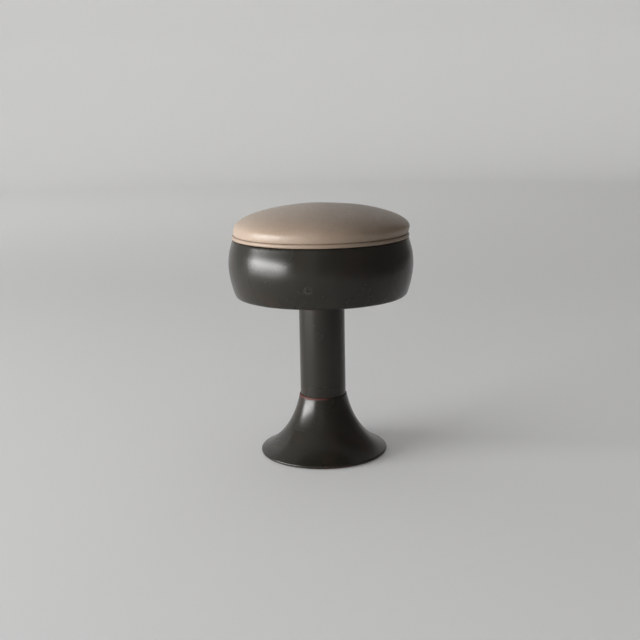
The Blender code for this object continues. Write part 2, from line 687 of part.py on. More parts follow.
def build_balls():
    """Brass cage and its balls, which roll round at half the seat's speed."""
    places = circle(RACE_RADIUS, BALL_COUNT)
    edge = BALL_POCKET_RADIUS + CAGE_RIM
    loops = [circle(RACE_RADIUS + edge, HIDDEN_STEPS), circle(RACE_RADIUS - edge, HIDDEN_STEPS)]
    loops += [circle(BALL_POCKET_RADIUS, SMALL_STEPS, place) for place in places]
    half = CAGE_THICKNESS / 2
    add_part("ball_cage", flat_mesh("ball_cage", loops, RACE_Z - half, RACE_Z + half), brass, bearing)
    bpy.ops.mesh.primitive_uv_sphere_add(
        location=(0, 0, 0), radius=BALL_RADIUS, segments=BALL_STEPS, ring_count=BALL_RINGS
    )
    ball = finished_mesh(bpy.context.object)
    for i, (x, y) in enumerate(places):
        add_part(f"swivel_ball_{i + 1:02d}", ball, bright_steel, bearing, (x, y, RACE_Z))


def build_upper_plate():
    """Turning plate, bolted to the seat board, with one hole that gives access to the lower screws."""
    access_place = (LOWER_SCREW_CIRCLE, 0)
    loops = [
        rounded_square(UPPER_PLATE_HALF_WIDTH, PLATE_CORNER_RADIUS),
        circle(EYELET_HOLE_RADIUS, HIDDEN_STEPS),
        circle(ACCESS_HOLE_RADIUS, SMALL_STEPS, access_place),
    ]
    loops += [circle(BOLT_HOLE_RADIUS, SMALL_STEPS, place) for place in square_corners(UPPER_BOLT_SIDE)]
    mesh = flat_mesh("swivel_upper_plate", loops, UPPER_PLATE_Z, UPPER_PLATE_TOP_Z)
    plate = add_part("swivel_upper_plate", mesh, zinc_plate, seat)
    cut_race(plate)


def build_eyelet():
    """Flanged sleeve through both plates. It turns with the upper plate and hooks under the lower one."""
    bore = EYELET_RADIUS - EYELET_WALL
    low_flange_z = LOWER_PLATE_Z - FIT_GAP
    high_flange_z = UPPER_PLATE_TOP_Z + FIT_GAP
    outline = [
        (EYELET_FLANGE_RADIUS, high_flange_z + EYELET_FLANGE),
        (EYELET_FLANGE_RADIUS, high_flange_z),
        (EYELET_RADIUS, high_flange_z),
        (EYELET_RADIUS, low_flange_z),
        (EYELET_FLANGE_RADIUS, low_flange_z),
        (EYELET_FLANGE_RADIUS, low_flange_z - EYELET_FLANGE),
        (bore, low_flange_z - EYELET_FLANGE),
        (bore, high_flange_z + EYELET_FLANGE),
    ]
    mesh = turned_mesh("swivel_eyelet", outline, HIDDEN_STEPS, closed=True)
    add_part("swivel_eyelet", mesh, zinc_plate, seat)


def build_seat_bolts():
    """Hexagon bolts that rise through the upper plate into tee nuts sunk in the top of the board."""
    seat_z = UPPER_PLATE_Z - FIT_GAP
    bolt = hex_bolt_mesh("seat_bolt", BOARD_Z + BOLT_REACH - seat_z)
    outline = [
        (TEE_NUT_FLANGE_RADIUS, 0),
        (TEE_NUT_FLANGE_RADIUS, -TEE_NUT_FLANGE),
        (TEE_NUT_BARREL_RADIUS, -TEE_NUT_FLANGE),
        (TEE_NUT_BARREL_RADIUS, -TEE_NUT_LENGTH),
        (BOLT_HOLE_RADIUS, -TEE_NUT_LENGTH),
        (BOLT_HOLE_RADIUS, 0),
    ]
    tee_nut = turned_mesh("tee_nut", outline, SMALL_STEPS, closed=True)
    for i, (x, y) in enumerate(square_corners(UPPER_BOLT_SIDE)):
        add_part(f"seat_bolt_{i + 1}", bolt, bright_steel, seat, (x, y, seat_z))
        add_part(f"tee_nut_{i + 1}", tee_nut, zinc_plate, seat, (x, y, BOARD_TOP_Z))


# Seat


def build_seat_board():
    """Plywood disc with a hole over the eyelet, stepped holes for the tee nuts and pilot holes."""
    loops = [
        circle(BOARD_RADIUS, SHELL_STEPS),
        circle(EYELET_FLANGE_RADIUS + BOARD_HOLE_MARGIN, HIDDEN_STEPS),
    ]
    board = add_part("seat_board", flat_mesh("seat_board", loops, BOARD_Z, BOARD_TOP_Z), plywood, seat)
    stepped = [
        (0, TEE_NUT_FLANGE),
        (TEE_NUT_FLANGE_RADIUS + FIT_GAP, TEE_NUT_FLANGE),
        (TEE_NUT_FLANGE_RADIUS + FIT_GAP, -TEE_NUT_FLANGE - FIT_GAP),
        (TEE_NUT_BARREL_RADIUS + FIT_GAP, -TEE_NUT_FLANGE - FIT_GAP),
        (TEE_NUT_BARREL_RADIUS + FIT_GAP, -2 * BOARD_THICKNESS),
        (0, -2 * BOARD_THICKNESS),
    ]
    cutter = repeated(turned_mesh("tee_nut_holes", stepped, SMALL_STEPS), square_corners(UPPER_BOLT_SIDE))
    helper = add_boolean(board, "DIFFERENCE", cutter)
    helper.location.z = BOARD_TOP_Z
    places = circle(DRUM_SCREW_CIRCLE, DRUM_SCREW_COUNT)
    high = BOARD_Z + DRUM_SCREW_REACH + FIT_GAP
    drill(board, "pilot_holes", DRUM_SCREW_RADIUS + FIT_GAP, BOARD_Z - DRUM_SCREW_REACH, high, places)


def build_pad():
    """Foam that fills the cover and laps over the edge of the board, the cover itself and its welt."""
    inside = offset_inwards(pad_outline(), COVER_THICKNESS + FIT_GAP)
    edge = BOARD_RADIUS + FIT_GAP
    outer_face = [point for point in inside if point[0] > edge or point[1] > BOARD_TOP_Z + FIT_GAP]
    foam_outline = outer_face + [
        (edge, outer_face[-1][1]),
        (edge, BOARD_TOP_Z + FIT_GAP),
        (0, BOARD_TOP_Z + FIT_GAP),
    ]
    add_part("seat_foam", turned_mesh("seat_foam", foam_outline, SHELL_STEPS), foam, seat)
    cover = turned_mesh("seat_cover", cover_outline(), SHELL_STEPS, wall=COVER_THICKNESS)
    add_part("seat_cover", cover, taupe_leather, seat)
    bpy.ops.mesh.primitive_torus_add(
        location=(0, 0, 0),
        major_radius=WELT_RING_RADIUS,
        minor_radius=WELT_SECTION_RADIUS,
        major_segments=SHELL_STEPS,
        minor_segments=WELT_STEPS,
    )
    welt = finished_mesh(bpy.context.object)
    add_part("seat_welt", welt, taupe_leather, seat, (0, 0, WELT_Z))


def build_drum():
    mesh = turned_mesh("drum_shell", drum_outline(), SHELL_STEPS, wall=DRUM_WALL)
    add_part("drum_shell", mesh, dark_enamel, seat)


def build_drum_ring():
    """Flat ring welded inside the drum's turned-in top edge, drilled for the screws into the board."""
    mesh = ring_mesh("drum_ring", DRUM_RING_BORE, DRUM_RING_RADIUS, DRUM_RING_Z, DRUM_TOP_Z, SHELL_STEPS)
    ring = add_part("drum_ring", mesh, dark_enamel, seat)
    places = circle(DRUM_SCREW_CIRCLE, DRUM_SCREW_COUNT)
    low = DRUM_RING_Z - DRUM_WALL
    high = DRUM_TOP_Z + DRUM_WALL
    drill(ring, "ring_holes", DRUM_SCREW_RADIUS + FIT_GAP, low, high, places)


def build_drum_screws():
    seat_z = DRUM_RING_Z - FIT_GAP
    length = BOARD_Z + DRUM_SCREW_REACH - seat_z
    outline = pan_screw_outline(DRUM_SCREW_RADIUS, DRUM_SCREW_HEAD_RADIUS, DRUM_SCREW_HEAD_HEIGHT, length)
    mesh = turned_mesh("drum_screw", outline, SMALL_STEPS)
    for i, (x, y) in enumerate(circle(DRUM_SCREW_CIRCLE, DRUM_SCREW_COUNT)):
        add_part(f"drum_screw_{i + 1}", mesh, bright_steel, seat, (x, y, seat_z))


clear_scene()
parts = new_collection("swivel_pedestal_stool")
cutters = new_collection("cutters")

dark_enamel = new_material("dark_enamel", (0.035, 0.033, 0.028), 0.38, 0.2)
taupe_leather = new_material("taupe_leather", (0.27, 0.215, 0.175), 0.45)
foam = new_material("foam", (0.75, 0.68, 0.48), 0.95)
plywood = new_material("plywood", (0.5, 0.34, 0.19), 0.75)
cast_iron = new_material("cast_iron", (0.06, 0.06, 0.062), 0.65, 0.8)
zinc_plate = new_material("zinc_plate", (0.55, 0.54, 0.5), 0.4, 1.0)
bright_steel = new_material("bright_steel", (0.62, 0.62, 0.62), 0.3, 1.0)
brass = new_material("brass", (0.62, 0.46, 0.2), 0.35, 1.0)
black_rubber = new_material("black_rubber", (0.02, 0.02, 0.02), 0.85)

pedestal = new_carrier("pedestal_carrier", 0.0)
bearing = new_carrier("bearing_carrier", RACE_Z)
seat = new_carrier("seat_carrier", RACE_Z)

build_foot_ring()
build_base_plate()
build_flared_base()
build_base_screws()
build_column()
build_column_plug()
build_column_cap()
build_tie_rod()
build_lower_plate()
build_lower_screws()
build_balls()
build_upper_plate()
build_eyelet()
build_seat_bolts()
build_seat_board()
build_pad()
build_drum()
build_drum_ring()
build_drum_screws()
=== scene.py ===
import json
import math

import bpy
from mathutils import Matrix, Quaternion, Vector, noise


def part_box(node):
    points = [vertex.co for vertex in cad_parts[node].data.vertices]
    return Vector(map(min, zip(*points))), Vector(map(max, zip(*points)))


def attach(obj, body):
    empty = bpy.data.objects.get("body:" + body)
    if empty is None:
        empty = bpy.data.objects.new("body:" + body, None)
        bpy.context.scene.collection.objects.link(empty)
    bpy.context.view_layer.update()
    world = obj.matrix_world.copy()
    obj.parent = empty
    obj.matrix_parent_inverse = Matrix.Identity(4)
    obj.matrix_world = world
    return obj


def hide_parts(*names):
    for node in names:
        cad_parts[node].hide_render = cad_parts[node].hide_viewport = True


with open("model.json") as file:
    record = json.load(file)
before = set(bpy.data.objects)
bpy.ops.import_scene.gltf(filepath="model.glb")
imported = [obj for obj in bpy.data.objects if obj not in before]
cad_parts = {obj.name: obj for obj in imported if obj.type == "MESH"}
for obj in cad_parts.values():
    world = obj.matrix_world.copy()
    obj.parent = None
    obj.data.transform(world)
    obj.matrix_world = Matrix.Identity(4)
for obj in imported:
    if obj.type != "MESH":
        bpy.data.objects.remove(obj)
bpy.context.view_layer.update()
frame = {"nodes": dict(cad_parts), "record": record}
nodes = frame["nodes"]
print("frame loaded,", len(nodes), "nodes")

fitGap = 0.0003  # between pieces that touch, as in the solids
rounding = {"segments": 2, "sharpAngle": 30.0, "smoothAngle": 40.0}  # for every rounded edge


# shaping helpers, for outlines of (radius, height)

def arcRun(centre, radius, start, end, steps):  # 0 degrees is outwards, 90 is up
    run = []
    for i in range(steps + 1):
        angle = math.radians(start + (end - start) * i / steps)
        run.append((centre[0] + radius * math.cos(angle), centre[1] + radius * math.sin(angle)))
    return run


def cubicRun(a, b, c, d, steps):  # a curve from a to d, with b and c as its handles
    run = []
    for i in range(steps + 1):
        t = i / steps
        s = 1 - t
        shares = (s ** 3, 3 * s * s * t, 3 * s * t * t, t ** 3)
        run.append(tuple(sum(w * p[k] for w, p in zip(shares, (a, b, c, d))) for k in (0, 1)))
    return run


def leanFrom(point, length, degrees):  # the point a length below, leaning outwards
    angle = math.radians(degrees)
    return (point[0] + length * math.sin(angle), point[1] - length * math.cos(angle))


def bell(off, width):  # 1 on a line, fading to nothing beside it
    return math.exp(-(off / width) ** 2)


def startRing(name, radius, height, corners):
    bpy.ops.object.select_all(action="DESELECT")
    bpy.ops.mesh.primitive_circle_add(vertices=corners, radius=radius, location=(0, 0, height))
    piece = bpy.context.object
    piece.name = name
    piece.data.name = name
    bpy.ops.object.transform_apply(location=True, rotation=False, scale=False)
    bpy.ops.object.mode_set(mode="EDIT")
    bpy.ops.mesh.select_all(action="SELECT")
    return piece


def drawRings(outline):  # pulls the selected ring along an outline
    for here, there in zip(outline, outline[1:]):
        grow = there[0] / here[0]
        bpy.ops.mesh.extrude_region_move(TRANSFORM_OT_translate={"value": (0, 0, there[1] - here[1])})
        bpy.ops.transform.resize(value=(grow, grow, 1), center_override=(0, 0, there[1]))


def selectRims():
    bpy.ops.mesh.select_all(action="DESELECT")
    bpy.ops.mesh.select_non_manifold(extend=False, use_wire=False, use_multi_face=False,
                                     use_non_contiguous=False, use_verts=False)


def leaveEdit(inside=False):
    bpy.ops.mesh.select_all(action="SELECT")
    bpy.ops.mesh.normals_make_consistent(inside=inside)
    bpy.ops.object.mode_set(mode="OBJECT")


def applyModifier(piece, kind, **settings):
    modifier = piece.modifiers.new(kind.title(), kind)
    for key, value in settings.items():
        setattr(modifier, key, value)
    bpy.ops.object.modifier_apply(modifier=modifier.name)


def roundEdges(piece, width):
    applyModifier(piece, "BEVEL", width=width, segments=rounding["segments"], limit_method="ANGLE",
                  angle_limit=math.radians(rounding["sharpAngle"]))
    bpy.ops.object.shade_smooth_by_angle(angle=math.radians(rounding["smoothAngle"]))


def addRipple(piece, size, depth):  # sheet spun over a former is never quite even
    clouds = bpy.data.textures.new(piece.name + "Ripple", "CLOUDS")
    clouds.noise_scale = size
    applyModifier(piece, "DISPLACE", texture=clouds, strength=depth, mid_level=0.5, texture_coords="LOCAL")


def turnShell(name, outline, shell):  # an open skin given a wall inwards
    piece = startRing(name, *outline[0], shell["corners"])
    drawRings(outline)
    leaveEdit()
    if "rippleDepth" in shell:
        addRipple(piece, shell["rippleSize"], shell["rippleDepth"])
    applyModifier(piece, "SOLIDIFY", thickness=shell["wall"], offset=-1, use_even_offset=True)
    roundEdges(piece, shell["edge"])
    return piece


def turnSolid(name, outline, corners):  # a closed section turned into a ring
    piece = startRing(name, *outline[0], corners)
    drawRings(outline)
    selectRims()
    bpy.ops.mesh.bridge_edge_loops()
    leaveEdit()
    return piece


def settle(piece, body, slotName, finish, *stoodFor):
    piece.data.materials.clear()
    piece.data.materials.append(finish)
    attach(piece, body)
    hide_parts(*stoodFor)
    print("made", piece.name, len(piece.data.polygons), "faces")


# material helpers

def put(tree, kind, sockets=None, **settings):  # a socket is linked, any other value is set
    node = tree.nodes.new("ShaderNode" + kind)
    for key, value in settings.items():
        setattr(node, key, value)
    for key, value in (sockets or {}).items():
        if isinstance(value, bpy.types.NodeSocket):
            tree.links.new(value, node.inputs[key])
        else:
            node.inputs[key].default_value = value
    return node


def putGroup(tree, group, sockets):
    return put(tree, "Group", sockets, node_tree=group).outputs


def sums(tree, operation, *values):
    return put(tree, "Math", dict(enumerate(values)), operation=operation).outputs[0]


def vectorSums(tree, operation, *values):  # a dot product and a distance come out as a value
    outputs = put(tree, "VectorMath", dict(enumerate(values)), operation=operation).outputs
    return outputs["Value" if operation in ("DOT_PRODUCT", "DISTANCE") else "Vector"]


def noiseAt(tree, place, scale, detail, output=0):
    return put(tree, "TexNoise", {"Vector": place, "Scale": scale, "Detail": detail}).outputs[output]


def mixTone(tree, share, a, b):
    return put(tree, "Mix", {0: share, 6: a, 7: b}, data_type="RGBA").outputs[2]


def mixValue(tree, share, a, b):
    return put(tree, "Mix", {0: share, 2: a, 3: b}, data_type="FLOAT").outputs[0]


def ease(tree, value, fromLow, fromHigh, toLow=0.0, toHigh=1.0):
    sockets = {"Value": value, "From Min": fromLow, "From Max": fromHigh, "To Min": toLow, "To Max": toHigh}
    return put(tree, "MapRange", sockets, interpolation_type="SMOOTHSTEP").outputs["Result"]


def bumpNormal(tree, height, strength, depth):
    return put(tree, "Bump", {"Strength": strength, "Distance": depth, "Height": height}).outputs[0]


def newGroup(name, inputs, outputs):
    tree = bpy.data.node_groups.new(name, "ShaderNodeTree")
    kinds = {float: "NodeSocketFloat", tuple: "NodeSocketVector"}
    for label, value in inputs.items():
        socket = tree.interface.new_socket(label, in_out="INPUT", socket_type=kinds[type(value)])
        socket.default_value = value
    for label in outputs:
        tree.interface.new_socket(label, in_out="OUTPUT", socket_type="NodeSocketFloat")
    return tree, tree.nodes.new("NodeGroupInput").outputs, tree.nodes.new("NodeGroupOutput").inputs


def newFinish(name, **constants):
    material = bpy.data.materials.new(name)
    material.use_nodes = True
    tree = material.node_tree
    shader = tree.nodes["Principled BSDF"]
    for key, value in constants.items():
        shader.inputs[key.replace("_", " ")].default_value = value
    place = put(tree, "TexCoord").outputs["Object"]
    return material, tree, shader.inputs, place


def feed(tree, shader, **values):  # links values to a shader's sockets
    for key, value in values.items():
        tree.links.new(value, shader[key.replace("_", " ")])


# effects that the finishes are made from

mottleLook = {"broadDetail": 4.0, "fineDetail": 3.0, "finer": 14.0, "from": 0.3, "to": 0.7}


def makeMottle():  # uneven tone, broad and fine
    inputs = {"Place": (0.0, 0.0, 0.0), "Scale": 12.0}
    tree, given, made = newGroup("mottle", inputs, ["Broad", "Fine"])
    broad = noiseAt(tree, given["Place"], given["Scale"], mottleLook["broadDetail"])
    fineScale = sums(tree, "MULTIPLY", given["Scale"], mottleLook["finer"])
    fine = noiseAt(tree, given["Place"], fineScale, mottleLook["fineDetail"])
    tree.links.new(ease(tree, broad, mottleLook["from"], mottleLook["to"]), made["Broad"])
    tree.links.new(ease(tree, fine, mottleLook["from"], mottleLook["to"]), made["Fine"])
    return tree


rubbedLook = {
    "raggedScale": 95.0, "raggedDetail": 4.0, "raggedReach": 2.0, "leastReach": 0.00001,
    "fadeFrom": 1.15, "fadeTo": 0.75, "fleckScale": 210.0, "fleckDetail": 3.0, "fleckEdge": 0.12,
}


def makeRubbed():  # paint rubbed through in a ragged band along an edge, most on one side
    inputs = {"Place": (0.0, 0.0, 0.0), "Edge": 0.0, "Depth": 0.002, "Towards": (-1.0, 0.0, 0.0),
              "From": -0.2, "To": 0.8, "Broken": 0.2}
    tree, given, made = newGroup("rubbedBand", inputs, ["Mask"])
    height = put(tree, "SeparateXYZ", {0: given["Place"]}).outputs["Z"]
    offEdge = sums(tree, "ABSOLUTE", sums(tree, "SUBTRACT", given["Edge"], height))
    flat = vectorSums(tree, "MULTIPLY", given["Place"], (1.0, 1.0, 0.0))
    outwards = vectorSums(tree, "NORMALIZE", flat)
    facing = vectorSums(tree, "DOT_PRODUCT", outwards, given["Towards"])
    side = ease(tree, facing, given["From"], given["To"])
    ragged = noiseAt(tree, given["Place"], rubbedLook["raggedScale"], rubbedLook["raggedDetail"])
    reach = sums(tree, "MULTIPLY", sums(tree, "MULTIPLY", given["Depth"], ragged),
                 sums(tree, "MULTIPLY", side, rubbedLook["raggedReach"]))
    offShare = sums(tree, "DIVIDE", offEdge, sums(tree, "MAXIMUM", reach, rubbedLook["leastReach"]))
    worn = ease(tree, offShare, rubbedLook["fadeFrom"], rubbedLook["fadeTo"])
    flecks = noiseAt(tree, given["Place"], rubbedLook["fleckScale"], rubbedLook["fleckDetail"])
    left = ease(tree, flecks, given["Broken"], sums(tree, "ADD", given["Broken"], rubbedLook["fleckEdge"]))
    tree.links.new(sums(tree, "MULTIPLY", worn, left), made["Mask"])
    return tree


scuffLook = {
    "gapScale": 260.0, "gapDetail": 2.0, "gapFrom": 0.38, "gapTo": 0.6, "lineFrom": 1.0, "lineTo": 0.3,
}


def makeScuff():  # a round mark: a ring, or a dot where its radius is nothing
    inputs = {"Place": (0.0, 0.0, 0.0), "Centre": (0.0, 0.0, 0.0), "Radius": 0.004, "Width": 0.001}
    tree, given, made = newGroup("scuffMark", inputs, ["Mask"])
    gaps = noiseAt(tree, given["Place"], scuffLook["gapScale"], scuffLook["gapDetail"])
    far = vectorSums(tree, "DISTANCE", given["Place"], given["Centre"])
    offLine = sums(tree, "ABSOLUTE", sums(tree, "SUBTRACT", far, given["Radius"]))
    offShare = sums(tree, "DIVIDE", offLine, given["Width"])
    line = ease(tree, offShare, scuffLook["lineFrom"], scuffLook["lineTo"])
    left = ease(tree, gaps, scuffLook["gapFrom"], scuffLook["gapTo"])
    tree.links.new(sums(tree, "MULTIPLY", line, left), made["Mask"])
    return tree


grainLook = {
    "bendScale": 180.0, "bendDetail": 2.0, "bendReach": 0.0016, "soften": 0.6,
    "poreScale": 1900.0, "poreDetail": 2.0, "poreShare": 0.3,
    "domeFrom": 0.75, "domeTo": 0.15, "valleyFrom": 0.45, "valleyTo": 0.8,
}


def makeGrain():  # hide grain: rounded cells and fine pores
    inputs = {"Place": (0.0, 0.0, 0.0), "Scale": 700.0}
    tree, given, made = newGroup("hideGrain", inputs, ["Height", "Valley"])
    bend = noiseAt(tree, given["Place"], grainLook["bendScale"], grainLook["bendDetail"], "Color")
    shift = put(tree, "VectorMath", {0: bend, "Scale": grainLook["bendReach"]}, operation="SCALE").outputs[0]
    cellSockets = {"Vector": vectorSums(tree, "ADD", given["Place"], shift), "Scale": given["Scale"],
                   "Smoothness": grainLook["soften"]}
    cells = put(tree, "TexVoronoi", cellSockets, feature="SMOOTH_F1").outputs["Distance"]
    pores = noiseAt(tree, given["Place"], grainLook["poreScale"], grainLook["poreDetail"])
    dome = ease(tree, cells, grainLook["domeFrom"], grainLook["domeTo"])
    pits = sums(tree, "MULTIPLY", pores, grainLook["poreShare"])
    tree.links.new(sums(tree, "ADD", dome, pits), made["Height"])
    tree.links.new(ease(tree, cells, grainLook["valleyFrom"], grainLook["valleyTo"]), made["Valley"])
    return tree


mottleGroup = makeMottle()
rubbedGroup = makeRubbed()
scuffGroup = makeScuff()
grainGroup = makeGrain()


# finishes

paint = {
    "dark": (0.0190, 0.0172, 0.0132, 1), "light": (0.0240, 0.0217, 0.0170, 1), "mottleScale": 11.0,
    "warm": (0.0300, 0.0205, 0.0155, 1), "warmScale": 16.0, "warmDetail": 2.0,
    "warmFrom": 0.52, "warmTo": 0.74,
    "scuff": (0.062, 0.060, 0.052, 1), "scuffRough": 0.5,
    "primer": (0.082, 0.019, 0.013, 1), "primerRough": 0.62,
    "roughLow": 0.23, "roughHigh": 0.28, "specular": 0.36,
    "peel": 0.03, "peelDepth": 0.0005, "peelScale": 130.0, "peelDetail": 1.0,
}


def satinPaint(name, rubbed=(), scuffs=()):
    finish, tree, shader, place = newFinish(name, Specular_IOR_Level=paint["specular"])
    mottle = putGroup(tree, mottleGroup, {"Place": place, "Scale": paint["mottleScale"]})
    tone = mixTone(tree, mottle["Broad"], paint["dark"], paint["light"])
    aged = noiseAt(tree, place, paint["warmScale"], paint["warmDetail"])
    tone = mixTone(tree, ease(tree, aged, paint["warmFrom"], paint["warmTo"]), tone, paint["warm"])
    rough = mixValue(tree, mottle["Broad"], paint["roughHigh"], paint["roughLow"])
    for mark in scuffs:
        mask = putGroup(tree, scuffGroup, {"Place": place, **mark})["Mask"]
        tone = mixTone(tree, mask, tone, paint["scuff"])
        rough = mixValue(tree, mask, rough, paint["scuffRough"])
    for band in rubbed:
        mask = putGroup(tree, rubbedGroup, {"Place": place, **band})["Mask"]
        tone = mixTone(tree, mask, tone, paint["primer"])
        rough = mixValue(tree, mask, rough, paint["primerRough"])
    orangePeel = noiseAt(tree, place, paint["peelScale"], paint["peelDetail"])
    feed(tree, shader, Base_Color=tone, Roughness=rough,
         Normal=bumpNormal(tree, orangePeel, paint["peel"], paint["peelDepth"]))
    return finish


hide = {
    "tone": (0.370, 0.278, 0.208, 1), "pale": (0.410, 0.317, 0.245, 1), "mottleScale": 9.0,
    "valley": (0.235, 0.168, 0.120, 1), "valleyShare": 0.35, "grainScale": 720.0,
    "roughLow": 0.35, "roughHigh": 0.46, "specular": 0.44, "sheen": 0.05, "sheenRough": 0.4,
    "bump": 0.14, "bumpDepth": 0.0004,
}


def taupeHide(name):
    finish, tree, shader, place = newFinish(name, Specular_IOR_Level=hide["specular"],
                                            Sheen_Weight=hide["sheen"], Sheen_Roughness=hide["sheenRough"])
    mottle = putGroup(tree, mottleGroup, {"Place": place, "Scale": hide["mottleScale"]})
    grain = putGroup(tree, grainGroup, {"Place": place, "Scale": hide["grainScale"]})
    tone = mixTone(tree, mottle["Broad"], hide["tone"], hide["pale"])
    tone = mixTone(tree, sums(tree, "MULTIPLY", grain["Valley"], hide["valleyShare"]), tone, hide["valley"])
    feed(tree, shader, Base_Color=tone,
         Roughness=mixValue(tree, mottle["Fine"], hide["roughLow"], hide["roughHigh"]),
         Normal=bumpNormal(tree, grain["Height"], hide["bump"], hide["bumpDepth"]))
    return finish


ply = {
    "dark": (0.36, 0.22, 0.11, 1), "light": (0.56, 0.38, 0.21, 1), "toneFrom": 0.3, "toneTo": 0.7,
    "stretch": (6.0, 90.0, 60.0), "detail": 6.0, "distortion": 0.6,
    "roughFrom": 0.2, "roughTo": 0.8, "roughDark": 0.85, "roughLight": 0.65,
    "bump": 0.2, "bumpDepth": 0.0004,
}


def plyFinish(name):
    finish, tree, shader, place = newFinish(name)
    stretched = put(tree, "Mapping", {"Vector": place, "Scale": ply["stretch"]}).outputs[0]
    streakSockets = {"Vector": stretched, "Scale": 1.0, "Detail": ply["detail"],
                     "Distortion": ply["distortion"]}
    streak = put(tree, "TexNoise", streakSockets).outputs[0]
    share = ease(tree, streak, ply["toneFrom"], ply["toneTo"])
    rough = ease(tree, streak, ply["roughFrom"], ply["roughTo"], ply["roughDark"], ply["roughLight"])
    feed(tree, shader, Base_Color=mixTone(tree, share, ply["dark"], ply["light"]), Roughness=rough,
         Normal=bumpNormal(tree, streak, ply["bump"], ply["bumpDepth"]))
    return finish


# bare metals, foam and rubber, by material slot
mottled = {
    "foam": {"name": "seatFoam", "dark": (0.68, 0.60, 0.40, 1), "light": (0.78, 0.70, 0.50, 1),
             "rough": (0.9, 1.0), "metallic": 0.0, "gritScale": 900.0, "gritBump": 0.5},
    "cast_iron": {"name": "castIron", "dark": (0.035, 0.035, 0.036, 1), "light": (0.07, 0.068, 0.066, 1),
                  "rough": (0.55, 0.75), "metallic": 0.6, "gritScale": 700.0, "gritBump": 0.5},
    "zinc_plate": {"name": "zincPlate", "dark": (0.44, 0.43, 0.38, 1), "light": (0.60, 0.59, 0.55, 1),
                   "rough": (0.34, 0.52), "metallic": 1.0, "gritScale": 300.0, "gritBump": 0.1},
    "bright_steel": {"name": "brightSteel", "dark": (0.50, 0.50, 0.49, 1), "light": (0.64, 0.64, 0.63, 1),
                     "rough": (0.26, 0.42), "metallic": 1.0, "gritScale": 500.0, "gritBump": 0.08},
    "brass": {"name": "cageBrass", "dark": (0.50, 0.35, 0.14, 1), "light": (0.64, 0.47, 0.21, 1),
              "rough": (0.3, 0.45), "metallic": 1.0, "gritScale": 400.0, "gritBump": 0.08},
    "black_rubber": {"name": "footRubber", "dark": (0.016, 0.016, 0.016, 1),
                     "light": (0.030, 0.029, 0.028, 1), "rough": (0.75, 0.92), "metallic": 0.0,
                     "gritScale": 600.0, "gritBump": 0.3},
}
mottledScale = 28.0
gritDetail = 3.0
gritDepth = 0.0004


def mottledFinish(name, dark, light, rough, metallic, gritScale, gritBump):
    finish, tree, shader, place = newFinish(name, Metallic=metallic)
    mottle = putGroup(tree, mottleGroup, {"Place": place, "Scale": mottledScale})
    grit = noiseAt(tree, place, gritScale, gritDetail)
    feed(tree, shader, Base_Color=mixTone(tree, mottle["Broad"], dark, light),
         Roughness=mixValue(tree, mottle["Fine"], *rough),
         Normal=bumpNormal(tree, grit, gritBump, gritDepth))
    return finish


# where the paint is rubbed through or marked
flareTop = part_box("flared_base")[1].z
neckRub = {"Edge": flareTop, "Depth": 0.0044, "Towards": (-0.9, -0.43, 0.0), "From": -0.16, "To": 0.90}
footRub = {"Edge": 0.0030, "Depth": 0.0030, "Towards": (0.13, -0.99, 0.0), "From": 0.93, "To": 1.0,
           "Broken": 0.5}
drumScuffs = [
    {"Centre": (-0.0244, -0.1739, 0.3534), "Radius": 0.0060, "Width": 0.0026},
    {"Centre": (-0.0424, -0.1700, 0.3510), "Radius": 0.0, "Width": 0.0022},
]
columnScuffs = [{"Centre": (-0.0156, -0.0416, 0.2610), "Radius": 0.0, "Width": 0.0026}]

drumPaint = satinPaint("drumPaint", scuffs=drumScuffs)
columnPaint = satinPaint("columnPaint", scuffs=columnScuffs)
flarePaint = satinPaint("flarePaint", rubbed=[neckRub, footRub])
seatHide = taupeHide("seatHide")
slotFinish = {"dark_enamel": drumPaint, "taupe_leather": seatHide, "plywood": plyFinish("seatPly")}
for slotName, look in mottled.items():
    slotFinish[slotName] = mottledFinish(**look)
for row in frame["record"]["subparts"]:
    mesh = nodes[row["node"]].data
    mesh.materials.clear()
    mesh.materials.append(slotFinish[row["material_slot"]])
print("finishes made")


# drum: one spun skirt with a turned-in top edge and a rolled lip at the bottom

drum = {
    "corners": 192, "wall": 0.0015, "edge": 0.0005, "rippleSize": 0.06, "rippleDepth": 0.0005,
    "topInset": 0.0080, "topLean": 14.5, "topHandle": 0.0167, "topFillet": 0.0030, "topReturn": 0.0100,
    "shoulderDrop": 0.0499, "wideHandleUp": 0.0238, "wideHandleDown": 0.0204,
    "bottomInset": 0.0120, "bottomLean": 27.9, "bottomHandle": 0.0082, "bottomFillet": 0.0060,
    "bottomLip": 0.0060, "topSteps": 5, "sideSteps": 20, "bottomSteps": 6,
}


